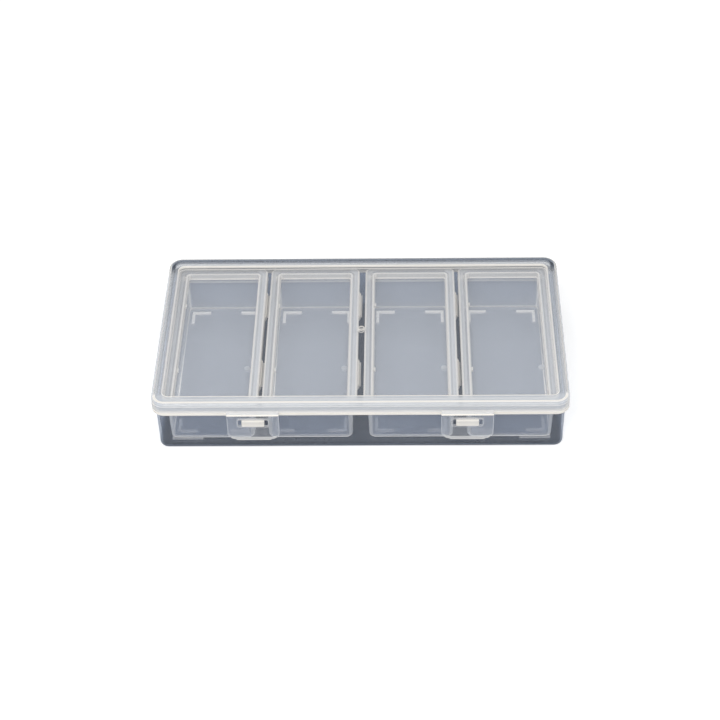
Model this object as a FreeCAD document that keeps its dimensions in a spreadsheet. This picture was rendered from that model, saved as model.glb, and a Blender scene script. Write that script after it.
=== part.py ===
import FreeCAD, Part
import math
import os
import re
from enum import IntEnum, auto
import Sketcher
from FreeCAD import Vector

# A clear storage case with four loose lidded boxes inside.
# The case is a shallow tray with a lid that turns on a film hinge along the back edge, and two
# film-hinged latch flaps on the lid's front edge that button over lugs on the tray's front wall.
# Each box is a drafted tub with a cap lid that turns on two film straps along its right side.
# Frame: origin on the table under the middle of the tray, +X to the right, +Y to the back, +Z up.

# Driving dimensions in millimetres, and drafts in degrees.
SIZES = {
    # Whole case, measured over the lid
    "case_width": 210.0,
    "case_depth": 118.6,
    "case_height": 32.2,
    "case_corner": 7.0,
    "lid_height": 6.5,
    "parting_gap": 0.1,
    # Tray
    "tray_wall": 1.2,
    "tray_floor": 1.6,
    "tray_draft": 0.8,
    "tray_round": 2.4,
    "flange_reach": 2.0,
    "flange_thickness": 1.4,
    "flange_edge_round": 0.5,
    "tongue_height": 2.2,
    "corner_rib_arm": 16.0,
    "corner_rib_width": 1.6,
    "corner_rib_height": 0.4,
    "corner_rib_side_inset": 6.0,
    "corner_rib_end_inset": 4.2,
    "lug_width": 11.4,
    "lug_clearance": 0.5,
    "lug_proud": 0.3,
    "lug_round": 0.6,
    # Case lid
    "lid_wall": 1.3,
    "lid_edge_round": 1.4,
    "panel_side_inset": 5.8,
    "panel_front_inset": 6.5,
    "panel_back_inset": 7.6,
    "panel_corner": 3.0,
    "panel_recess": 0.9,
    "panel_edge_round": 0.5,
    "skirt_edge_round": 0.4,
    "gate_radius": 1.7,
    "gate_wall": 0.45,
    "gate_height": 0.35,
    # Latch flaps
    "latch_spread": 53.8,
    "latch_width": 26.2,
    "latch_length": 15.5,
    "latch_thickness": 1.3,
    "latch_gap": 0.2,
    "latch_corner": 4.2,
    "window_width": 15.2,
    "window_height": 4.5,
    "window_drop": 2.7,
    "window_corner": 0.8,
    "finger_lip_height": 1.6,
    "finger_lip_reach": 0.7,
    "finger_lip_round": 0.5,
    "latch_root_height": 1.2,
    # Film hinges
    "film_radius": 0.35,
    "film_gap": 0.05,
    "case_film_length": 62.0,
    "case_film_spread": 52.0,
    # Row of boxes, with its clearances to the case
    "row_end_clearance": 2.2,
    "box_end_clearance": 1.1,
    "box_headroom": 2.3,
    "box_corner": 3.0,
    "box_gap_side": 2.0,
    "box_gap_middle": 3.2,
    # Tubs
    "tub_wall": 1.0,
    "tub_floor": 1.0,
    "tub_draft": 1.9,
    "tub_corner": 3.4,
    "tub_round": 1.6,
    "rim_reach": 1.9,
    "rim_thickness": 1.2,
    "rim_edge_round": 0.3,
    "foot_height": 0.8,
    "foot_arm": 10.0,
    "foot_width": 1.5,
    "foot_side_inset": 3.0,
    "foot_end_inset": 1.9,
    # Strap tabs on the right side of tub and lid
    "tab_length": 22.0,
    "tab_slope": 2.0,
    "tab_reach": 1.6,
    "tab_spread": 27.5,
    # Box lids
    "cap_height": 4.0,
    "cap_wall": 1.1,
    "cap_edge_round": 0.5,
    "frame_edge_round": 0.25,
    "plug_wall": 1.6,
    "plug_drop": 1.5,
    "plug_clearance": 0.3,
    "box_panel_sink": 3.1,
    "box_panel_wall": 1.1,
    "hook_width": 5.0,
    "hook_length": 3.0,
    "hook_clearance": 0.3,
    "hook_spread": 26.0,
    "bump_width": 2.4,
    "bump_reach": 1.2,
    "bump_height": 1.4,
    "box_gate_radius": 1.7,
    "box_gate_height": 0.2,
    "box_gate_right": 17.0,
    "box_gate_front": 23.6,
    # Length by which every cut passes the face it opens
    "overrun": 1.0,
}

# The gaps between the boxes from left to right, and the boxes' numbers
BOX_GAPS = ("box_gap_side", "box_gap_middle", "box_gap_side")
BOX_NUMBERS = range(1, len(BOX_GAPS) + 2)

# Sizes that follow from the driving ones: the boxes fill the case, less their clearances
FOLLOWING_SIZES = {
    "parting_level": "case_height - lid_height",
    "box_width": "(case_width - 2 * (flange_reach + tray_wall + row_end_clearance)"
                 f" - {' - '.join(BOX_GAPS)}) / {len(BOX_NUMBERS)}",
    "box_length": "case_depth - 2 * (flange_reach + tray_wall + box_end_clearance)",
    "tub_height": "case_height - panel_recess - lid_wall - box_headroom - cap_height - parting_gap"
                  " - foot_height - tray_floor",
}

# Signs of the sides, ends and corners, as they stand in formulas
SIDES = {"left": "-1", "right": "1"}
ENDS = {"front": "-1", "back": "1"}
CORNERS = (("-1", "-1"), ("1", "-1"), ("1", "1"), ("-1", "1"))


class Spot(IntEnum):
    """The points of a line or an arc, as a sketch counts them."""
    START = auto()
    END = auto()
    CENTRE = auto()


doc = FreeCAD.newDocument("storage_case")
sheet = doc.addObject("Spreadsheet::Sheet", "sizes")


def fill_sheet():
    """Writes every size into its own named cell, the following ones as formulas."""
    cells = SIZES | {alias: f"={formula}" for alias, formula in FOLLOWING_SIZES.items()}
    for row, (alias, value) in enumerate(cells.items(), start=1):
        sheet.set(f"A{row}", alias)
        sheet.set(f"B{row}", str(value))
        sheet.setAlias(f"B{row}", alias)
    doc.recompute()


def named(formula):
    """Turns a formula in plain size names into one that reads the sheet."""
    def bound(match):
        word = match.group()
        return f"sizes.{word}" if word in SIZES or word in FOLLOWING_SIZES else word
    return re.sub(r"[a-z_]+", bound, formula)


def amount(holder, formula):
    """The number that a formula gives at the sheet's present values."""
    value = holder.evalExpression(named(formula))
    return float(getattr(value, "Value", value))


def origin_plane(body, role):
    return next(plane for plane in body.Origin.OriginFeatures if plane.Role == role)


def new_body(label):
    body = doc.addObject("PartDesign::Body", label)
    body.Label = label
    return body


def new_sketch(body, name, level="0", role="XY_Plane"):
    """A sketch on an origin plane, moved along the plane's normal to a level."""
    sketch = body.newObject("Sketcher::SketchObject", f"{body.Name}_{name}")
    sketch.AttachmentSupport = [(origin_plane(body, role), "")]
    sketch.MapMode = "FlatFace"
    sketch.setExpression("AttachmentOffset.Base.z", named(level))
    return sketch


def hold(sketch, kind, places, formula):
    """Adds a dimension to the sketch and binds it to the sheet."""
    index = sketch.addConstraint(Sketcher.Constraint(kind, *places, amount(sketch, formula)))
    sketch.setExpression(f"Constraints[{index}]", named(formula))


def hold_point(sketch, geometry, spot, across, along):
    """Holds a point at its distances from the sketch's origin, which is the start of axis -1."""
    origin = (-1, Spot.START)
    hold(sketch, "DistanceX", (*origin, geometry, spot), across)
    hold(sketch, "DistanceY", (*origin, geometry, spot), along)


def draw_rounded_rectangle(sketch, width, depth, corner, across="0", along="0"):
    """A rectangle with round corners about a centre point, held by the sheet."""
    half_x = f"(({width}) / 2 - ({corner}))"
    half_y = f"(({depth}) / 2 - ({corner}))"
    centres = [(f"({across}) + {sx} * {half_x}", f"({along}) + {sy} * {half_y}") for sx, sy in CORNERS]
    arcs = []
    for index, (centre_x, centre_y) in enumerate(centres):
        first = math.pi + index * math.pi / 2
        centre = Vector(amount(sketch, centre_x), amount(sketch, centre_y), 0)
        circle = Part.Circle(centre, Vector(0, 0, 1), amount(sketch, corner))
        arcs.append(sketch.addGeometry(Part.ArcOfCircle(circle, first, first + math.pi / 2)))
    lines = []
    for index, arc in enumerate(arcs):
        following = arcs[(index + 1) % len(arcs)]
        start = sketch.getPoint(arc, Spot.END)
        end = sketch.getPoint(following, Spot.START)
        lines.append(sketch.addGeometry(Part.LineSegment(start, end)))
    for index, line in enumerate(lines):
        following = arcs[(index + 1) % len(arcs)]
        sketch.addConstraint(Sketcher.Constraint("Tangent", arcs[index], Spot.END, line, Spot.START))
        sketch.addConstraint(Sketcher.Constraint("Tangent", line, Spot.END, following, Spot.START))
        sketch.addConstraint(Sketcher.Constraint("Vertical" if index % 2 else "Horizontal", line))
    for arc in arcs[1:]:
        sketch.addConstraint(Sketcher.Constraint("Equal", arcs[0], arc))
    hold(sketch, "Radius", (arcs[0],), corner)
    hold_point(sketch, arcs[0], Spot.CENTRE, *centres[0])
    hold_point(sketch, arcs[2], Spot.CENTRE, *centres[2])


def draw_polygon(sketch, corners):
    """A closed outline of straight lines through corners given as formulas."""
    points = [Vector(amount(sketch, across), amount(sketch, along), 0) for across, along in corners]
    lines = []
    for index, point in enumerate(points):
        following = points[(index + 1) % len(points)]
        lines.append(sketch.addGeometry(Part.LineSegment(point, following)))
    for index, line in enumerate(lines):
        following = lines[(index + 1) % len(lines)]
        sketch.addConstraint(Sketcher.Constraint("Coincident", line, Spot.END, following, Spot.START))
    for line, (across, along) in zip(lines, corners):
        hold_point(sketch, line, Spot.START, across, along)


def draw_circle(sketch, radius, across="0", along="0"):
    middle = Vector(amount(sketch, across), amount(sketch, along), 0)
    circle = sketch.addGeometry(Part.Circle(middle, Vector(0, 0, 1), amount(sketch, radius)))
    hold(sketch, "Radius", (circle,), radius)
    hold_point(sketch, circle, Spot.CENTRE, across, along)


def add_feature(body, kind, sketch, name, length, taper=None, upward=False):
    """A pad or a pocket of a sketch, with its length and draft bound to the sheet."""
    feature = body.newObject(f"PartDesign::{kind}", f"{body.Name}_{name}")
    feature.Profile = sketch
    feature.setExpression("Length", named(length))
    if taper:
        feature.setExpression("TaperAngle", named(taper))
    feature.Reversed = upward
    return feature


def add_pad(body, sketch, name, height, taper=None):
    before = body.Shape.Volume if body.Tip else 0
    pad = add_feature(body, "Pad", sketch, name, height, taper)
    doc.recompute()
    assert pad.Shape.Volume > before, f"{body.Label}: {name} adds nothing"
    return pad


def add_pocket(body, sketch, name, depth, taper=None, upward=False):
    before = body.Shape.Volume
    pocket = add_feature(body, "Pocket", sketch, name, depth, taper, upward)
    doc.recompute()
    assert pocket.Shape.Volume < before, f"{body.Label}: {name} cuts nothing"
    return pocket


def flat_edges(feature, level):
    """Each edge that lies flat at a level of its body: its name and its bounds."""
    close = Part.Precision.confusion()
    found = {}
    for index, edge in enumerate(feature.Shape.Edges, start=1):
        box = edge.BoundBox
        if abs(box.ZMin - level) < close and abs(box.ZMax - level) < close:
            found[f"Edge{index}"] = box
    return found


def edges_within(feature, level, width, depth, along="0"):
    """Names of the edges at a level that lie in a rectangle about a point on the middle line."""
    close = Part.Precision.confusion()
    reach_x = amount(feature, width) / 2 + close
    reach_y = amount(feature, depth) / 2 + close
    middle = amount(feature, along)
    return [
        name for name, box in flat_edges(feature, amount(feature, level)).items()
        if max(-box.XMin, box.XMax) < reach_x and max(middle - box.YMin, box.YMax - middle) < reach_y
    ]


def end_edges(feature, level):
    """Names of the edges at a level that run from front to back."""
    close = Part.Precision.confusion()
    return [name for name, box in flat_edges(feature, level).items() if box.XLength < close]


def add_fillet(body, base, name, edge_names, radius):
    """Rounds the named edges of a feature."""
    fillet = body.newObject("PartDesign::Fillet", f"{body.Name}_{name}")
    fillet.Base = (base, edge_names)
    fillet.setExpression("Radius", named(radius))
    doc.recompute()
    return fillet


def round_levels(body, base, name, levels, radius):
    """Rounds every edge of a feature that lies flat at one of some levels."""
    edge_names = [edge for level in levels for edge in flat_edges(base, amount(body, level))]
    return add_fillet(body, base, name, edge_names, radius)


def mirror_across(body, feature, name, role):
    """Repeats a feature on the other side of an origin plane."""
    mirrored = body.newObject("PartDesign::Mirrored", f"{body.Name}_{name}")
    mirrored.Originals = [feature]
    mirrored.MirrorPlane = (origin_plane(body, role), [""])
    body.Tip = mirrored
    doc.recompute()
    return mirrored


def draw_corner_angles(sketch, half_width, half_depth, arm, width):
    """Four L shapes with their outer corners at the corners of a rectangle."""
    for sx, sy in CORNERS:
        corner_x = f"{sx} * ({half_width})"
        corner_y = f"{sy} * ({half_depth})"
        arm_x = f"{corner_x} - {sx} * {arm}"
        arm_y = f"{corner_y} - {sy} * {arm}"
        inner_x = f"{corner_x} - {sx} * {width}"
        inner_y = f"{corner_y} - {sy} * {width}"
        draw_polygon(sketch, [
            (corner_x, corner_y), (arm_x, corner_y), (arm_x, inner_y),
            (inner_x, inner_y), (inner_x, arm_y), (corner_x, arm_y),
        ])


# Levels and places that several pieces share
FILM_OFFSET = "(film_gap + film_radius)"
CASE_HINGE_Y = f"(case_depth / 2 + {FILM_OFFSET})"
CASE_HINGE_Z = "(parting_level + parting_gap / 2)"
LATCH_FACE = "(case_depth / 2 + latch_gap + latch_thickness)"
LATCH_TOP = f"({CASE_HINGE_Z} - {FILM_OFFSET})"
WINDOW_MIDDLE = f"({LATCH_TOP} - window_drop - window_height / 2)"
TRAY_TAPER = "(parting_level * tan(tray_draft))"
TRAY_HALF_WIDTH = f"(case_width / 2 - flange_reach - {TRAY_TAPER})"
TRAY_HALF_DEPTH = f"(case_depth / 2 - flange_reach - {TRAY_TAPER})"
RIM_LEVEL = "(foot_height + tub_height)"
CAP_LEVEL = f"({RIM_LEVEL} + parting_gap)"
TUB_TAPER = "(tub_height * tan(tub_draft))"
TAB_AXIS_X = "(box_width / 2 + tab_reach - film_radius)"
TAB_EDGE_X = f"({TAB_AXIS_X} - {FILM_OFFSET})"
TAB_LEVEL = f"({RIM_LEVEL} + parting_gap / 2)"


def box_middle_x(number):
    """The place of a box in the row, which is centred in the tray."""
    row = f"({len(BOX_NUMBERS)} * box_width + {' + '.join(BOX_GAPS)})"
    gaps = "".join(f" + {gap}" for gap in BOX_GAPS[:number - 1])
    return f"{number - 1} * box_width + box_width / 2 - {row} / 2{gaps}"


def make_tray():
    """The tray: drafted walls, outward flange, tongue above it, corner ribs and two lugs."""
    body = new_body("base_tray")
    under_flange = "(parting_level - flange_thickness)"
    flange_outline = new_sketch(body, "flange_outline", under_flange)
    draw_rounded_rectangle(flange_outline, "case_width", "case_depth", "case_corner")
    flange = add_pad(body, flange_outline, "flange", "flange_thickness")
    round_levels(body, flange, "flange_round", [under_flange, "parting_level"], "flange_edge_round")

    outline = new_sketch(body, "outline")
    draw_rounded_rectangle(outline, f"2 * {TRAY_HALF_WIDTH}", f"2 * {TRAY_HALF_DEPTH}",
                           f"case_corner - flange_reach - {TRAY_TAPER}")
    shell = add_pad(body, outline, "shell", "parting_level + tongue_height", "tray_draft")
    round_levels(body, shell, "bottom_round", ["0"], "tray_round")

    top = "(parting_level + tongue_height)"
    spread = "(tongue_height * tan(tray_draft) - tray_wall - flange_reach)"
    mouth = new_sketch(body, "mouth", top)
    draw_rounded_rectangle(mouth, f"case_width + 2 * {spread}", f"case_depth + 2 * {spread}",
                           f"case_corner + {spread}")
    add_pocket(body, mouth, "hollow", f"{top} - tray_floor", "- tray_draft")

    ribs = new_sketch(body, "corner_ribs", "tray_floor")
    draw_corner_angles(ribs, f"{TRAY_HALF_WIDTH} - corner_rib_side_inset",
                       f"{TRAY_HALF_DEPTH} - corner_rib_end_inset", "corner_rib_arm", "corner_rib_width")
    add_pad(body, ribs, "ribs", "corner_rib_height")

    root = "(case_depth / 2 - flange_reach - tray_wall)"
    lug_outline = new_sketch(body, "lug_outline", root, "XZ_Plane")
    draw_rounded_rectangle(lug_outline, "lug_width", "window_height - 2 * lug_clearance", "lug_round",
                           "latch_spread", WINDOW_MIDDLE)
    lug = add_pad(body, lug_outline, "lug", f"{LATCH_FACE} + lug_proud - {root}")
    mirror_across(body, lug, "lug_pair", "YZ_Plane")
    return body


def make_case_lid():
    """The lid: a hollow cap with a sunk panel, a gate ring in its middle and two latch roots."""
    body = new_body("case_lid")
    level = "(parting_level + parting_gap)"
    outline = new_sketch(body, "outline", level)
    draw_rounded_rectangle(outline, "case_width", "case_depth", "case_corner")
    block = add_pad(body, outline, "block", f"case_height - {level}")
    skirt = round_levels(body, block, "skirt_round", [level], "skirt_edge_round")
    round_levels(body, skirt, "edge_round", ["case_height"], "lid_edge_round")

    panel = new_sketch(body, "panel", "case_height")
    panel_width = "case_width - 2 * panel_side_inset"
    panel_depth = "case_depth - panel_front_inset - panel_back_inset"
    panel_y = "(panel_front_inset - panel_back_inset) / 2"
    draw_rounded_rectangle(panel, panel_width, panel_depth, "panel_corner", "0", panel_y)
    sunk = add_pocket(body, panel, "sunk_panel", "panel_recess")
    panel_edges = edges_within(sunk, "case_height", panel_width, panel_depth, panel_y)
    add_fillet(body, sunk, "panel_round", panel_edges, "panel_edge_round")

    hollow = new_sketch(body, "hollow_outline", level)
    hollow_width = "case_width - 2 * lid_wall"
    hollow_depth = "case_depth - 2 * lid_wall"
    draw_rounded_rectangle(hollow, hollow_width, hollow_depth, "case_corner - lid_wall")
    ceiling = f"case_height - panel_recess - lid_wall - {level}"
    add_pocket(body, hollow, "hollow", ceiling, upward=True)

    rim = new_sketch(body, "rim_outline", level)
    draw_rounded_rectangle(rim, hollow_width, hollow_depth, "case_corner - lid_wall")
    draw_rounded_rectangle(rim, f"{panel_width} + 2 * lid_wall", f"{panel_depth} + 2 * lid_wall",
                           "panel_corner + lid_wall", "0", panel_y)
    add_pocket(body, rim, "rim_hollow", f"case_height - lid_wall - {level}", upward=True)

    gate = new_sketch(body, "gate_outline", "case_height - panel_recess")
    draw_circle(gate, "gate_radius")
    draw_circle(gate, "gate_radius - gate_wall")
    add_pad(body, gate, "gate_ring", "gate_height")

    roots = new_sketch(body, "latch_root_outline", "case_depth / 2 - lid_wall", "XZ_Plane")
    foot = f"{CASE_HINGE_Z} + {FILM_OFFSET}"
    draw_rounded_rectangle(roots, "latch_width", "latch_root_height", "film_radius",
                           "latch_spread", f"{foot} + latch_root_height / 2")
    root = add_pad(body, roots, "latch_root", f"{LATCH_FACE} - case_depth / 2 + lid_wall")
    mirror_across(body, root, "latch_roots", "YZ_Plane")
    return body


def make_latch(side):
    """A latch flap: a plate with round lower corners, a window for the lug and a finger lip."""
    body = new_body(f"latch_{side}")
    bottom = f"({LATCH_TOP} - latch_length)"
    half = "latch_width / 2"
    plate = new_sketch(body, "plate_outline", f"{LATCH_FACE} - latch_thickness", "XZ_Plane")
    draw_polygon(plate, [(f"-{half}", LATCH_TOP), (f"-{half}", bottom), (half, bottom), (half, LATCH_TOP)])
    flap = add_pad(body, plate, "plate", "latch_thickness")
    add_fillet(body, flap, "corners", end_edges(flap, amount(body, bottom)), "latch_corner")

    lip = new_sketch(body, "lip_outline", LATCH_FACE, "XZ_Plane")
    draw_rounded_rectangle(lip, "latch_width - 2 * latch_corner", "finger_lip_height", "finger_lip_round",
                           "0", f"{bottom} + finger_lip_height / 2")
    add_pad(body, lip, "finger_lip", "finger_lip_reach")

    window = new_sketch(body, "window_outline", f"{LATCH_FACE} + overrun", "XZ_Plane")
    draw_rounded_rectangle(window, "window_width", "window_height", "window_corner", "0", WINDOW_MIDDLE)
    add_pocket(body, window, "window", "latch_thickness + 2 * overrun")
    body.setExpression("Placement.Base.x", named(f"{SIDES[side]} * latch_spread"))
    return body


def draw_tabs(sketch, inner_x):
    """Two strap tabs with sloped ends on the right side of a box."""
    for sign in ENDS.values():
        middle = f"{sign} * tab_spread"
        draw_polygon(sketch, [
            (inner_x, f"{middle} - tab_length / 2"),
            ("box_width / 2", f"{middle} - tab_length / 2"),
            (TAB_EDGE_X, f"{middle} - tab_length / 2 + tab_slope"),
            (TAB_EDGE_X, f"{middle} + tab_length / 2 - tab_slope"),
            ("box_width / 2", f"{middle} + tab_length / 2"),
            (inner_x, f"{middle} + tab_length / 2"),
        ])


def draw_hook_places(sketch, outer_x, inner_x, half_length):
    """Two rectangles on the left side of a box, at its hooks."""
    for sign in ENDS.values():
        near = f"{sign} * hook_spread - ({half_length})"
        far = f"{sign} * hook_spread + ({half_length})"
        draw_polygon(sketch, [(outer_x, near), (inner_x, near), (inner_x, far), (outer_x, far)])


def draw_plug_section(sketch, inset):
    """An outline of the plug rim at an inset from the box's sides, with corners that follow the tub's."""
    draw_rounded_rectangle(sketch, f"box_width - 2 * {inset}", f"box_length - 2 * {inset}",
                           f"tub_corner + {TUB_TAPER} + rim_reach - {inset}")


def place_in_tray(body, number):
    body.setExpression("Placement.Base.x", named(box_middle_x(number)))
    body.setExpression("Placement.Base.z", named("tray_floor"))


def make_tub(number):
    """A tub: drafted walls, a rim with strap tabs and hook notches, and four angle feet."""
    body = new_body(f"box_{number}_tub")
    top_width = "box_width - 2 * rim_reach"
    top_length = "box_length - 2 * rim_reach"
    rim_base = f"({RIM_LEVEL} - rim_thickness)"
    rim_outline = new_sketch(body, "rim_outline", rim_base)
    draw_rounded_rectangle(rim_outline, "box_width", "box_length", "box_corner")
    rim = add_pad(body, rim_outline, "rim", "rim_thickness")
    round_levels(body, rim, "rim_round", [rim_base, RIM_LEVEL], "rim_edge_round")

    outline = new_sketch(body, "outline", "foot_height")
    draw_rounded_rectangle(outline, f"{top_width} - 2 * {TUB_TAPER}", f"{top_length} - 2 * {TUB_TAPER}",
                           "tub_corner")
    shell = add_pad(body, outline, "shell", "tub_height", "tub_draft")
    round_levels(body, shell, "bottom_round", ["foot_height"], "tub_round")
    tabs = new_sketch(body, "tab_outlines", rim_base)
    draw_tabs(tabs, "box_width / 2 - rim_reach")
    add_pad(body, tabs, "tabs", "rim_thickness")

    mouth = new_sketch(body, "mouth", RIM_LEVEL)
    draw_rounded_rectangle(mouth, f"{top_width} - 2 * tub_wall", f"{top_length} - 2 * tub_wall",
                           f"tub_corner + {TUB_TAPER} - tub_wall")
    add_pocket(body, mouth, "hollow", "tub_height - tub_floor", "- tub_draft")

    notches = new_sketch(body, "notch_outlines", f"{RIM_LEVEL} + overrun")
    draw_hook_places(notches, "- box_width / 2 - overrun", "- box_width / 2 + cap_wall + hook_clearance",
                     "hook_width / 2 + hook_clearance")
    add_pocket(body, notches, "hook_notches", "rim_thickness + 2 * overrun")

    feet = new_sketch(body, "foot_outlines")
    draw_corner_angles(feet, f"({top_width}) / 2 - {TUB_TAPER} - foot_side_inset",
                       f"({top_length}) / 2 - {TUB_TAPER} - foot_end_inset", "foot_arm", "foot_width")
    add_pad(body, feet, "feet", "foot_height")
    place_in_tray(body, number)
    return body


def make_box_lid(number):
    """A box lid: a hollow frame with a plug rim inside the tub, a sunk panel, strap tabs and hooks."""
    body = new_body(f"box_{number}_lid")
    cap_top = f"({CAP_LEVEL} + cap_height)"
    outline = new_sketch(body, "outline", CAP_LEVEL)
    draw_rounded_rectangle(outline, "box_width", "box_length", "box_corner")
    block = add_pad(body, outline, "block", "cap_height")
    cap = round_levels(body, block, "skirt_round", [CAP_LEVEL], "rim_edge_round")
    round_levels(body, cap, "edge_round", [cap_top], "cap_edge_round")

    plug_inset = "(rim_reach + tub_wall + plug_clearance)"
    well_inset = f"({plug_inset} + plug_wall)"
    channel = new_sketch(body, "channel_outline", CAP_LEVEL)
    draw_rounded_rectangle(channel, "box_width - 2 * cap_wall", "box_length - 2 * cap_wall",
                           "box_corner - cap_wall")
    draw_plug_section(channel, plug_inset)
    add_pocket(body, channel, "channel", "cap_height - cap_wall", upward=True)
    plug = new_sketch(body, "plug_outline", f"{CAP_LEVEL} - plug_drop")
    draw_plug_section(plug, plug_inset)
    add_pad(body, plug, "plug", "plug_drop")

    well = new_sketch(body, "well_outline", f"{cap_top} + overrun")
    draw_plug_section(well, well_inset)
    frame = add_pocket(body, well, "well", "cap_height + plug_drop + 2 * overrun")
    well_edges = edges_within(frame, cap_top, f"box_width - 2 * {well_inset}",
                              f"box_length - 2 * {well_inset}")
    add_fillet(body, frame, "frame_round", well_edges, "frame_edge_round")
    panel_top = f"({cap_top} - box_panel_sink)"
    panel = new_sketch(body, "panel_outline", f"{panel_top} - box_panel_wall")
    draw_plug_section(panel, f"({plug_inset} + plug_wall / 2)")
    add_pad(body, panel, "panel", "box_panel_wall")

    tabs = new_sketch(body, "tab_outlines", CAP_LEVEL)
    draw_tabs(tabs, "box_width / 2 - cap_wall")
    add_pad(body, tabs, "tabs", "rim_thickness")
    hooks = new_sketch(body, "hook_outlines", f"{CAP_LEVEL} - hook_length")
    draw_hook_places(hooks, "- box_width / 2", "- box_width / 2 + cap_wall", "hook_width / 2")
    add_pad(body, hooks, "hooks", "hook_length")
    bumps = new_sketch(body, "bump_outlines", panel_top)
    draw_hook_places(bumps, f"- box_width / 2 + {plug_inset} + plug_wall / 2",
                     f"- box_width / 2 + {well_inset} + bump_reach", "bump_width / 2")
    add_pad(body, bumps, "bumps", "bump_height")

    gate = new_sketch(body, "gate_outline", panel_top)
    draw_circle(gate, "box_gate_radius", "box_gate_right", "- box_gate_front")
    add_pad(body, gate, "gate_mark", "box_gate_height")
    place_in_tray(body, number)
    return body


def add_film(name, length, start, turn):
    """One film of a hinge: a thin round bead along the hinge axis from a starting point."""
    film = doc.addObject("Part::Cylinder", name)
    film.setExpression("Radius", named("film_radius"))
    film.setExpression("Height", named(length))
    film.Placement.Rotation = turn
    for axis, formula in zip("xyz", start):
        film.setExpression(f"Placement.Base.{axis}", named(formula))
    return film


def group_films(label, films):
    group = doc.addObject("Part::Compound", label)
    group.Label = label
    group.Links = films
    return group


ALONG_X = FreeCAD.Rotation(Vector(0, 0, 1), Vector(1, 0, 0))
ALONG_Y = FreeCAD.Rotation(Vector(0, 0, 1), Vector(0, 1, 0))


def make_case_films():
    """The films along the back edge that join the tray's flange to the lid's skirt."""
    films = []
    for side, sign in SIDES.items():
        start_x = f"{sign} * case_film_spread - case_film_length / 2"
        films.append(add_film(f"case_film_{side}", "case_film_length",
                              (start_x, CASE_HINGE_Y, CASE_HINGE_Z), ALONG_X))
    return group_films("case_hinge_films", films)


def make_latch_films():
    """The films that join the latch flaps to their roots on the lid."""
    films = []
    for side, sign in SIDES.items():
        start_x = f"{sign} * latch_spread - latch_width / 2"
        films.append(add_film(f"latch_film_{side}", "latch_width",
                              (start_x, f"-{LATCH_FACE}", CASE_HINGE_Z), ALONG_X))
    return group_films("latch_hinge_films", films)


def make_box_films(number):
    """The films at the outer edges of a box's strap tabs."""
    films = []
    length = "tab_length - 2 * tab_slope"
    for end, sign in ENDS.items():
        start_y = f"{sign} * tab_spread - ({length}) / 2"
        start = (f"{box_middle_x(number)} + {TAB_AXIS_X}", start_y, f"tray_floor + {TAB_LEVEL}")
        films.append(add_film(f"box_{number}_film_{end}", length, start, ALONG_Y))
    return group_films(f"box_{number}_hinge_films", films)


def check_document(parts):
    """Stops the build if any object failed or any sub-part has no sound shape."""
    for item in doc.Objects:
        assert not {"Invalid", "Error"} & set(item.State), f"{item.Label} failed"
    for part in parts:
        assert not part.Shape.isNull() and part.Shape.isValid(), f"{part.Label} has no sound shape"


def write_parts(parts):
    os.makedirs("parts", exist_ok=True)
    for part in parts:
        part.Shape.exportStep(f"parts/{part.Label}.step")
        print(part.Label, len(part.Shape.Solids), round(part.Shape.Volume, 1))


fill_sheet()
sub_parts = [make_tray(), make_case_lid(), make_case_films(), make_latch_films()]
sub_parts += [make_latch(side) for side in SIDES]
for box_number in BOX_NUMBERS:
    sub_parts += [make_tub(box_number), make_box_lid(box_number), make_box_films(box_number)]
doc.recompute()
check_document(sub_parts)
write_parts(sub_parts)
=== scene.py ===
from math import cos, radians, sin

import bmesh
import bpy
from mathutils import Matrix, Vector


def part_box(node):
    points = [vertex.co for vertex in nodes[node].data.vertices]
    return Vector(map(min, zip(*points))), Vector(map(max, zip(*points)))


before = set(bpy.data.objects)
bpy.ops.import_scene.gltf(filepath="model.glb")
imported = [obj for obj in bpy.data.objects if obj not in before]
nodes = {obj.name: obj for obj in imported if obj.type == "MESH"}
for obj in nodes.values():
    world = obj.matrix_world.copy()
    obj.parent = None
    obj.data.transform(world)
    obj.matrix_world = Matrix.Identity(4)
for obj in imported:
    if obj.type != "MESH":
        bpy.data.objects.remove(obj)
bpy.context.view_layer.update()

# Case tray
# A shallow open moulding of clear polypropylene that reads as dark slate, with a flange round its mouth.
# The film hinge along its back edge, the lugs on its front wall and the corner ribs are moulded on, and the
# lid and the boxes sit in it.
WALL_MILK = (0.82, 0.85, 0.89)
# The white of the lines: the milky colour of thick edges, also used for painted highlights.
EDGE_MILK_AND_HIGHLIGHT = (0.97, 0.93, 0.87)
# The colour of a painted glow that the plastic gives off at its edges, with no lamp there.
PAINTED_EDGE_GLOW = (0.70, 0.65, 0.57)
TRAY_FRONT_TINT = (0.75, 0.775, 0.82)
TRAY_SHADED_BACK_TINT = (0.38, 0.42, 0.49)
TRAY_SIDELONG_TINT = (0.46, 0.50, 0.57)
TRAY_FLOOR_TINT = (0.25, 0.29, 0.35)
TRAY_BACK_SHADE_FADE = (-0.02, 0.05)
TRAY_FLOOR_FADE = (0.003, 0.0015)
FLANGE_BOTTOM = 0.02405
FLANGE_TOP = 0.0260
RIB_HALF = (0.0966, 0.0527)
RIB_ARM = 0.016
RIB_WIDTH = 0.0016
RIB_TOP = 0.0026
LUG_ROOT_Y = -0.0591
LUG_TOP = 0.0229
LUG_MIDDLE = 0.0204
LUG_FACE_HALF = 0.00125
TRAY_HEM_TOP = 0.0005


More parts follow.
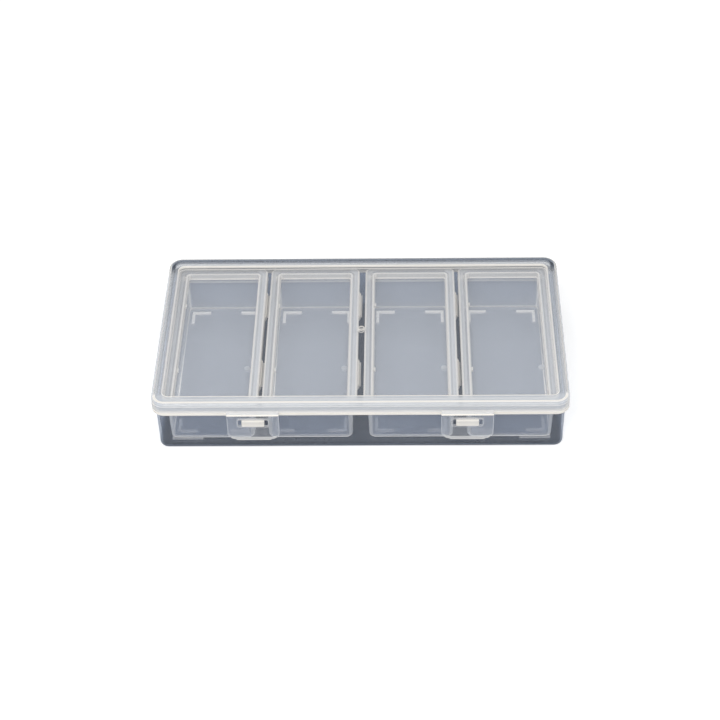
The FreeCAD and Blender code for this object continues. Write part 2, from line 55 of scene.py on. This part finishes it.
class Wire:
    """One output of a shader's nodes. Sums on it add Math nodes."""

    def __init__(self, shader, socket):
        self.shader = shader
        self.socket = socket

    def __add__(self, other):
        return self.shader.math("ADD", self, other)

    def __radd__(self, other):
        return self.shader.math("ADD", other, self)

    def __sub__(self, other):
        return self.shader.math("SUBTRACT", self, other)

    def __rsub__(self, other):
        return self.shader.math("SUBTRACT", other, self)

    def __mul__(self, other):
        return self.shader.math("MULTIPLY", self, other)

    def __rmul__(self, other):
        return self.shader.math("MULTIPLY", other, self)

    def __pow__(self, power):
        return self.shader.math("POWER", self, power)

    def __abs__(self):
        return self.shader.math("ABSOLUTE", self)

    def at_least(self, other):
        return self.shader.math("MAXIMUM", self, other)

    def at_most(self, other):
        return self.shader.math("MINIMUM", self, other)

    def rise(self, low, high):
        """0 below the first value, 1 past the second, smooth between: falling where they are swapped."""
        inputs = {"Value": self, "From Min": low, "From Max": high}
        return self.shader.add("ShaderNodeMapRange", {"interpolation_type": "SMOOTHSTEP"}, inputs)

    def above(self, level, soft=0.0002):
        """1 past a level, with a soft edge centred on it."""
        return self.rise(level - soft, level + soft)

    def below(self, level, soft=0.0002):
        """1 under a level, with a soft edge centred on it."""
        return self.rise(level + soft, level - soft)

    def band(self, low, high):
        """1 between two levels, with soft edges centred on them."""
        return self.above(low) * self.below(high)

    def line(self, middle, half):
        """1 at a middle value, falling to 0 at a half width on either side."""
        return abs(self - middle).rise(half, half * 0.4)


class Shader:
    """The nodes of a material or of the surround."""

    def __init__(self, tree):
        self.tree = tree
        self.tree.nodes.clear()

    def add(self, kind, settings=None, inputs=None, output=0):
        """Adds a node, sets its settings first and then its sockets, and gives one of its outputs."""
        node = self.tree.nodes.new(kind)
        for name, value in (settings or {}).items():
            setattr(node, name, value)
        for key, value in (inputs or {}).items():
            if isinstance(value, Wire):
                self.tree.links.new(value.socket, node.inputs[key])
            else:
                node.inputs[key].default_value = value
        return Wire(self, node.outputs[output]) if node.outputs else None

    def math(self, operation, *values):
        return self.add("ShaderNodeMath", {"operation": operation}, dict(enumerate(values)))

    def mix(self, share, first, second):
        return self.add("ShaderNodeMixShader", inputs={0: share, 1: first, 2: second})

    def sum(self, first, second):
        return self.add("ShaderNodeAddShader", inputs={0: first, 1: second})


class Surface(Shader):
    """A material, built node by node in the case's own coordinates."""

    def __init__(self, name):
        self.material = bpy.data.materials.new(name)
        self.material.use_nodes = True
        # What glows here is too faint to be searched for as a lamp.
        self.material.cycles.emission_sampling = "NONE"
        super().__init__(self.material.node_tree)
        self.place = self.add("ShaderNodeTexCoord", output="Object")
        self.x, self.y, self.z = (
            self.add("ShaderNodeSeparateXYZ", inputs={"Vector": self.place}, output=axis) for axis in "XYZ")

    def speckle(self, size, stretch=(1, 1, 1)):
        """Cloudy variation about 0.5 with marks of a size in metres."""
        stretched = self.add("ShaderNodeMapping", inputs={"Vector": self.place, "Scale": stretch})
        return self.add("ShaderNodeTexNoise", inputs={"Vector": stretched, "Scale": 1 / size, "Detail": 2.0})

    def facing(self, normal=None):
        """0 where the surface is seen square on, 1 where it is seen edge on."""
        inputs = {"Blend": 0.5} | ({"Normal": normal} if normal else {})
        return self.add("ShaderNodeLayerWeight", inputs=inputs, output="Facing")

    def tint(self, colour):
        return self.add("ShaderNodeBsdfTransparent", inputs={"Color": (*colour, 1)})

    def glow(self, share, colour):
        """A share of a colour, given off as light."""
        dark = self.add("ShaderNodeEmission", inputs={"Color": (0, 0, 0, 1), "Strength": 1.0})
        bright = self.add("ShaderNodeEmission", inputs={"Color": (*colour, 1), "Strength": 1.0})
        return self.mix(share, dark, bright)

    def milk(self, colour, bump, through_share):
        """Milky plastic, lit from its own side and for a share from behind."""
        inputs = {"Color": (*colour, 1), "Normal": bump}
        lit = self.add("ShaderNodeBsdfDiffuse", inputs=inputs)
        lit_through = self.add("ShaderNodeBsdfTranslucent", inputs=inputs)
        return self.mix(through_share, lit, lit_through)

    def finish(self, look):
        self.add("ShaderNodeOutputMaterial", inputs={"Surface": look})
        return self.material


def moulded(plastic, clear, cloud, lines, roughness=0.1, through_share=0.12, painted_edge_glow=0.0):
    """A clear wall: a cloud of milky plastic catches some of the light, and lines are painted white, on thick
    edges and as painted highlights.

    The edge light is a painted glow that the plastic gives off itself, standing in for the light a wall
    guides to its edges inside the plastic.
    """
    waves = plastic.speckle(0.006) + 0.3 * plastic.speckle(0.0006)
    bump = plastic.add("ShaderNodeBump", inputs={"Strength": 0.06, "Distance": 0.0002, "Height": waves})
    scuffs_along = plastic.speckle(0.005, stretch=(9, 1, 1)).rise(0.62, 0.75)
    scuffs_across = plastic.speckle(0.007, stretch=(1, 9, 1)).rise(0.64, 0.76)
    scuffs = scuffs_along + scuffs_across
    wall_milk = plastic.milk(WALL_MILK, bump, through_share)
    edge_milk_and_highlight = plastic.milk(EDGE_MILK_AND_HIGHLIGHT, bump, through_share)
    milk = plastic.mix((lines * 1.6).at_most(1), wall_milk, edge_milk_and_highlight)
    haze = cloud * (0.93 + 0.14 * plastic.speckle(0.03)) + 0.006 * scuffs + lines
    # A painted glow is added to the milk where edges should shine.
    wall = plastic.mix(haze.at_most(0.96), clear, plastic.sum(milk, plastic.glow(painted_edge_glow, PAINTED_EDGE_GLOW)))
    worn = roughness + 0.1 * plastic.speckle(0.003) + 0.04 * scuffs
    gloss = plastic.add("ShaderNodeBsdfGlossy", inputs={
        "Color": (1, 1, 1, 1), "Roughness": worn, "Normal": bump})
    return plastic.finish(plastic.mix(0.02 + 0.35 * plastic.facing(bump) ** 5, wall, gloss))


def outline(across, along, half, corner):
    """Distance from a rounded rectangle's outline about zero, less than 0 inside it."""
    past_x = abs(across) - (half[0] - corner)
    past_y = abs(along) - (half[1] - corner)
    outside = distance(past_x.at_least(0), past_y.at_least(0))
    return outside + past_x.at_least(past_y).at_most(0) - corner


def distance(across, along):
    return (across ** 2 + along ** 2) ** 0.5


def angles(across, along, half, arm, width):
    """1 on four L shapes with their outer corners at the corners of a rectangle about zero."""
    in_x = half[0] - abs(across)
    in_y = half[1] - abs(along)
    level_arms = in_x.band(0, arm) * in_y.band(0, width)
    deep_arms = in_x.band(0, width) * in_y.band(0, arm)
    return level_arms.at_least(deep_arms)


def tray_plastic():
    plastic = Surface("slate_tray")
    # Painted shade: the walls are tinted darker towards the back, standing in for the shadow behind the case
    # seen through them.
    back = plastic.y.rise(*TRAY_BACK_SHADE_FADE)
    wall = plastic.mix(back, plastic.tint(TRAY_FRONT_TINT), plastic.tint(TRAY_SHADED_BACK_TINT))
    wall = plastic.mix(plastic.facing() ** 3, wall, plastic.tint(TRAY_SIDELONG_TINT))
    clear = plastic.mix(plastic.z.rise(*TRAY_FLOOR_FADE), wall, plastic.tint(TRAY_FLOOR_TINT))
    flange = plastic.z.band(FLANGE_BOTTOM, FLANGE_TOP)
    ribs = angles(plastic.x, plastic.y, RIB_HALF, RIB_ARM, RIB_WIDTH) * plastic.z.below(RIB_TOP)
    lugs = plastic.y.below(LUG_ROOT_Y) * plastic.z.below(LUG_TOP)
    lug_edges = abs(plastic.z - LUG_MIDDLE).above(LUG_FACE_HALF)
    hem = plastic.z.below(TRAY_HEM_TOP) * plastic.facing().rise(0.3, 0.6)
    lines = flange * 0.75 + ribs * 0.5 + lugs * (0.68 + 0.25 * lug_edges) + hem * 0.3
    cloud = 0.035 + 0.02 * plastic.speckle(0.02)
    return moulded(plastic, clear, cloud, lines)


nodes["base_tray"].data.materials[0] = tray_plastic()
nodes["case_hinge_films"].data.materials[0] = nodes["base_tray"].data.materials[0]


# Tubs
# Four small open boxes of natural polypropylene, loose in the tray side by side. Each stands on four angle
# feet, and its rim carries the strap films that its lid turns on.
NATURAL_TINT = (0.975, 0.98, 0.99)
NATURAL_SIDELONG_TINT = (0.75, 0.77, 0.80)
BOX_ROUGHNESS = 0.12
BOX_HALF = (0.024, 0.055)
TUB_HALF = (0.0214, 0.0524)
TUB_CORNER = 0.0034
TUB_STRAIGHT = (0.0188, 0.0498)
TUB_CORNER_FADE = (0, 0.0016)
TUB_FLOOR_TOP = 0.0037
TUB_RIM_BOTTOM = 0.0224
TUB_LIGHT_FADE = (0.03, -0.03)
SEAM_HEIGHT = 0.0031
SEAM_HALF = 0.0010
SEAM_INSET = 0.0013
FOOT_HALF = (0.0184, 0.0482)
FOOT_ARM = 0.010
FOOT_WIDTH = 0.0015


def box_middle(number):
    """A box's middle in x, from the plain left side of its lid."""
    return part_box(f"box_{number}_lid")[0].x + BOX_HALF[0]


def natural_clear(plastic):
    """The see-through part of natural plastic, darker where it is seen edge on."""
    square_on = plastic.tint(NATURAL_TINT)
    return plastic.mix(plastic.facing() ** 3, square_on, plastic.tint(NATURAL_SIDELONG_TINT))


def tub_plastic(number):
    plastic = Surface(f"natural_tub_{number}")
    across = plastic.x - box_middle(number)
    bottom = outline(across, plastic.y, TUB_HALF, TUB_CORNER)
    seam = plastic.z.line(SEAM_HEIGHT, SEAM_HALF) * bottom.above(-SEAM_INSET)
    feet = angles(across, plastic.y, FOOT_HALF, FOOT_ARM, FOOT_WIDTH) * plastic.z.below(TUB_FLOOR_TOP)
    rim = plastic.z.above(TUB_RIM_BOTTOM)
    past_sides = abs(across) - TUB_STRAIGHT[0]
    past_ends = abs(plastic.y) - TUB_STRAIGHT[1]
    corners = past_sides.at_most(past_ends).rise(*TUB_CORNER_FADE)
    lines = seam * 0.9 + feet * 0.95 + rim * 0.45 + corners * 0.7 + 0.3 * plastic.facing() ** 4
    # Painted glow on the seam, the feet and the corners, stronger towards the front; the seam also takes more
    # light from behind.
    front = plastic.y.rise(*TUB_LIGHT_FADE)
    painted_edge_glow = (seam * (0.2 + 0.8 * front) + feet * 0.45 + corners * 0.25).at_most(1)
    through_share = 0.12 + 0.7 * seam
    return moulded(plastic, natural_clear(plastic), 0.35, lines, BOX_ROUGHNESS, through_share, painted_edge_glow)


for number in range(1, 5):
    nodes[f"box_{number}_tub"].data.materials[0] = tub_plastic(number)
    nodes[f"box_{number}_hinge_films"].data.materials[0] = nodes[f"box_{number}_tub"].data.materials[0]


# Box lids
# Caps of the same natural polypropylene: a hollow frame that sits on the tub's rim, a panel sunk between its
# inner walls, two bumps over the snap hooks on the left and a round injection mark.
BOX_CORNER = 0.003
WELL_HALF = (0.0192, 0.0502)
WELL_CORNER = 0.0012
FRAME_START = 0.00015
FRAME_LINE_HALF = 0.0008
FRAME_LINE_INSET = 0.0004
FRAME_GROOVE = 0.0017
FRAME_GROOVE_HALF = 0.0006
STRAP_SIDE_FADE = (0.0180, 0.0200)
PANEL_FRONT_LIGHT_FADE = (0.052, -0.010)
PANEL_TOP = 0.0250
PANEL_JOINT_HEIGHT = 0.0249
PANEL_JOINT_HALF = 0.0006
PANEL_JOINT_INSET = 0.0005
BUMP_END_X = -0.0181
GATE_PLACE = (0.0170, -0.0236)
GATE_RADIUS = 0.00155
TAB_START = 0.0245


def box_lid_plastic(number):
    plastic = Surface(f"natural_box_lid_{number}")
    across = plastic.x - box_middle(number)
    well = outline(across, plastic.y, WELL_HALF, WELL_CORNER)
    outer = outline(across, plastic.y, BOX_HALF, BOX_CORNER)
    frame_band = well.above(FRAME_START)
    inner_line = well.line(FRAME_LINE_INSET, FRAME_LINE_HALF)
    outer_line = outer.line(-FRAME_LINE_INSET, FRAME_LINE_HALF)
    groove = well.line(FRAME_GROOVE, FRAME_GROOVE_HALF)
    bumps = across.below(BUMP_END_X) * plastic.z.above(PANEL_TOP) * well.below(0, soft=0.0001)
    gate = distance(across - GATE_PLACE[0], plastic.y - GATE_PLACE[1]).below(GATE_RADIUS, soft=0.00035)
    tabs = across.above(TAB_START)
    joint = plastic.z.line(PANEL_JOINT_HEIGHT, PANEL_JOINT_HALF) * well.above(-PANEL_JOINT_INSET)
    lines = (inner_line * 0.55 + outer_line * 0.4 + bumps * 0.7 + gate * 0.22 + tabs * 0.5 + joint * 0.4
             + frame_band * 0.2 + 0.3 * plastic.facing() ** 4)
    # Painted light: the cloud grows towards the front, so the panel is painted lighter towards the front,
    # where the lamps stand.
    front = plastic.y.rise(*PANEL_FRONT_LIGHT_FADE)
    strap_side = across.rise(*STRAP_SIDE_FADE)
    cloud = 0.09 + 0.17 * front + frame_band * (0.05 + 0.2 * strap_side - 0.2 * groove)
    return moulded(plastic, natural_clear(plastic), cloud, lines, BOX_ROUGHNESS)


for number in range(1, 5):
    nodes[f"box_{number}_lid"].data.materials[0] = box_lid_plastic(number)


# Case lid
# A shallow clear cap of natural polypropylene with a sunk panel, hinged to the tray by a film at the back.
# A small ring marks the injection point in its middle, and the latch flaps hang from its front edge.
LID_GROOVE_TINT = (0.25, 0.29, 0.36)
LID_BACK_TINT = (0.72, 0.70, 0.67)
LID_HALF = (0.105, 0.0593)
LID_CORNER = 0.007
LID_PANEL_HALF = (0.0992, 0.05225)
LID_PANEL_CORNER = 0.003
LID_PANEL_MIDDLE_Y = -0.00055
LID_RIM_START = 0.0002
LID_FRONT_LIGHT_FADE = (-0.050, -0.0535)
LID_BACK_FADE = (0.045, 0.052)
LID_GROOVE = (-0.0034, -0.0014)
LID_BACK_EDGE_FADE = (-0.0014, -0.0008)
LID_PANEL_HIGHLIGHT = 0.0003
LID_PANEL_HIGHLIGHT_HALF = 0.0007
LID_EDGE_HIGHLIGHT = -0.0016
LID_EDGE_HIGHLIGHT_HALF = 0.0009
LID_TOP = 0.0313
LID_SKIRT_HIGHLIGHT = 0.0304
LID_SKIRT_HIGHLIGHT_HALF = 0.0005
LID_SKIRT_TOP = 0.0301
LID_HEM_TOP = 0.02645
RING_RADIUS = 0.0015
RING_HALF = 0.0006


def lid_plastic():
    plastic = Surface("natural_lid")
    panel = outline(plastic.x, plastic.y - LID_PANEL_MIDDLE_Y, LID_PANEL_HALF, LID_PANEL_CORNER)
    outer = outline(plastic.x, plastic.y, LID_HALF, LID_CORNER)
    rim = panel.above(LID_RIM_START)
    front = plastic.y.rise(*LID_FRONT_LIGHT_FADE)
    back = plastic.y.rise(*LID_BACK_FADE)
    groove = outer.band(*LID_GROOVE) * back
    back_edge = outer.rise(*LID_BACK_EDGE_FADE) * back
    clear = plastic.mix(groove, natural_clear(plastic), plastic.tint(LID_GROOVE_TINT))
    clear = plastic.mix(back_edge, clear, plastic.tint(LID_BACK_TINT))
    ring = distance(plastic.x, plastic.y).line(RING_RADIUS, RING_HALF)
    # Painted highlight: a white line on the sunk panel's edge, brighter at the front and the back.
    panel_edge_highlight = panel.line(LID_PANEL_HIGHLIGHT, LID_PANEL_HIGHLIGHT_HALF)
    # Painted highlights at the front: a line on the rim's rounded top edge and one along the top of the
    # skirt.
    front_edge_highlight = outer.line(LID_EDGE_HIGHLIGHT, LID_EDGE_HIGHLIGHT_HALF) * front * plastic.z.above(LID_TOP)
    front_skirt_highlight = plastic.z.line(LID_SKIRT_HIGHLIGHT, LID_SKIRT_HIGHLIGHT_HALF) * front
    skirt = plastic.z.below(LID_SKIRT_TOP)
    hem = plastic.z.below(LID_HEM_TOP)
    lines = (panel_edge_highlight * (0.5 + 0.3 * front + 0.2 * back) + front_edge_highlight * 0.7 + front_skirt_highlight * 0.3 + hem * 0.7
             + ring * 0.6 + (1 - back) * 0.2 * plastic.facing() ** 4)
    # Painted light: the rim's cloud grows towards the front, so the front rim is painted lighter, where the
    # lamps light it.
    cloud = 0.035 + rim * (0.19 + 0.19 * front - 0.05 * skirt - 0.17 * groove)
    return moulded(plastic, clear, cloud, lines)


nodes["case_lid"].data.materials[0] = lid_plastic()


# Latch flaps
# Two clear flaps of the lid's own plastic, each on a thin film under the lid's front edge, with a window that
# buttons over a lug on the tray.
LATCH_MIDDLE_X = 0.0538
LATCH_MIDDLE_Z = 0.0205
LATCH_HALF = (0.0131, 0.01065)
LATCH_CORNER = 0.0042
LATCH_EDGE_HALF = 0.0005
LATCH_FOOT_TOP = 0.0108
LATCH_ROOT_FADE = (0.0250, 0.0240)
WINDOW_MIDDLE_Z = 0.0204
WINDOW_HALF = (0.0076, 0.00225)
WINDOW_CORNER = 0.0008
WINDOW_EDGE = 0.0002


def latch_plastic(name, middle_x):
    plastic = Surface(name)
    across = plastic.x - middle_x
    plate = outline(across, plastic.z - LATCH_MIDDLE_Z, LATCH_HALF, LATCH_CORNER)
    window = outline(across, plastic.z - WINDOW_MIDDLE_Z, WINDOW_HALF, WINDOW_CORNER)
    foot = plastic.z.below(LATCH_FOOT_TOP)
    edge = plate.line(0, LATCH_EDGE_HALF) * plastic.z.rise(*LATCH_ROOT_FADE)
    lines = edge * (0.2 + 0.3 * foot) + window.line(WINDOW_EDGE, LATCH_EDGE_HALF) * 0.25
    return moulded(plastic, natural_clear(plastic), 0.06, lines)


for side, sign in (("left", -1), ("right", 1)):
    nodes[f"latch_{side}"].data.materials[0] = latch_plastic(f"natural_latch_{side}", sign * LATCH_MIDDLE_X)
nodes["latch_hinge_films"].data.materials[0] = nodes["case_lid"].data.materials[0]


# Table
# A plain white sheet under the case that runs out of sight on every side. It lies a hair below the tray, so
# that the two faces don't share a plane.
TABLE_COLOUR = (0.86, 0.86, 0.86, 1)
TABLE_HALF = 3.0
TABLE_DROP = 0.0002
TABLE_FAR_FADE = (0.35, 1.0)


def seen_directly(shader):
    """1 for rays from the camera, a mirror or a clear wall, 0 for the light that falls on the case."""
    camera = shader.add("ShaderNodeLightPath", output="Is Camera Ray")
    mirror = shader.add("ShaderNodeLightPath", output="Is Glossy Ray")
    wall = shader.add("ShaderNodeLightPath", output="Is Transmission Ray")
    return camera.at_least(mirror).at_least(wall)


def table_sheet():
    sheet = Surface("white_table")
    lit = sheet.add("ShaderNodeBsdfDiffuse", inputs={"Color": TABLE_COLOUR})
    far = distance(sheet.x, sheet.y).rise(*TABLE_FAR_FADE)
    level = (0.46 + 0.3 * far) * seen_directly(sheet)
    return sheet.finish(sheet.sum(lit, sheet.glow(level, (1, 1, 1))))


def add_table():
    shape = bmesh.new()
    bmesh.ops.create_grid(shape, x_segments=1, y_segments=1, size=TABLE_HALF)
    bmesh.ops.translate(shape, verts=shape.verts, vec=(0, 0, -TABLE_DROP))
    mesh = bpy.data.meshes.new("table")
    shape.to_mesh(mesh)
    shape.free()
    mesh.materials.append(table_sheet())
    table = bpy.data.objects.new("table", mesh)
    bpy.context.scene.collection.objects.link(table)


add_table()


# Light
# Two large soft lamps in front and above, and an even pale surround that is white where it is seen.
SURROUND_LIGHT = (0.388, 0.394, 0.4, 1)
LAMP_SIZE = 0.7


def add_lamp(name, place, power):
    data = bpy.data.lights.new(name, "AREA")
    data.shape = "SQUARE"
    data.size = LAMP_SIZE
    data.energy = power
    lamp = bpy.data.objects.new(name, data)
    lamp.location = place
    lamp.rotation_euler = (-Vector(place)).to_track_quat("-Z", "Y").to_euler()
    bpy.context.scene.collection.objects.link(lamp)


def add_surround():
    world = bpy.data.worlds.new("studio")
    world.use_nodes = True
    surround = Shader(world.node_tree)
    light = surround.add("ShaderNodeBackground", inputs={"Color": SURROUND_LIGHT, "Strength": 1.0})
    white = surround.add("ShaderNodeBackground", inputs={"Color": (1, 1, 1, 1), "Strength": 1.0})
    look = surround.mix(seen_directly(surround), light, white)
    surround.add("ShaderNodeOutputWorld", inputs={"Surface": look})
    bpy.context.scene.world = world


add_lamp("key", place=(-0.45, -0.75, 0.9), power=8)
add_lamp("fill", place=(0.6, -0.5, 1.0), power=5)
add_surround()


# Camera
# In front of the case and above it, a step to the right, with a long lens.
CAMERA_AIM = Vector((-0.00109, -0.00017, 0.00964))
CAMERA_DISTANCE = 0.99214
CAMERA_ELEVATION = radians(41)
CAMERA_AZIMUTH = radians(1.74)
CAMERA_ROLL = radians(-1.44)
CAMERA_SENSOR_MM = 36.0
CAMERA_LENS_MM = 93.75


def add_camera():
    data = bpy.data.cameras.new("camera")
    data.sensor_fit = "HORIZONTAL"
    data.sensor_width = CAMERA_SENSOR_MM
    data.lens = CAMERA_LENS_MM
    camera = bpy.data.objects.new("camera", data)
    away = Vector((sin(CAMERA_AZIMUTH) * cos(CAMERA_ELEVATION),
                   -cos(CAMERA_AZIMUTH) * cos(CAMERA_ELEVATION), sin(CAMERA_ELEVATION)))
    right = Vector((0, 0, 1)).cross(away).normalized()
    up = away.cross(right)
    turned_right = cos(CAMERA_ROLL) * right + sin(CAMERA_ROLL) * up
    turned_up = cos(CAMERA_ROLL) * up - sin(CAMERA_ROLL) * right
    turn = Matrix((turned_right, turned_up, away)).transposed().to_4x4()
    camera.matrix_world = Matrix.Translation(CAMERA_AIM + CAMERA_DISTANCE * away) @ turn
    bpy.context.scene.collection.objects.link(camera)
    bpy.context.scene.camera = camera


add_camera()
scene = bpy.context.scene
scene.view_settings.view_transform = "Standard"
scene.cycles.transparent_max_bounces = 64
scene.cycles.max_bounces = 16
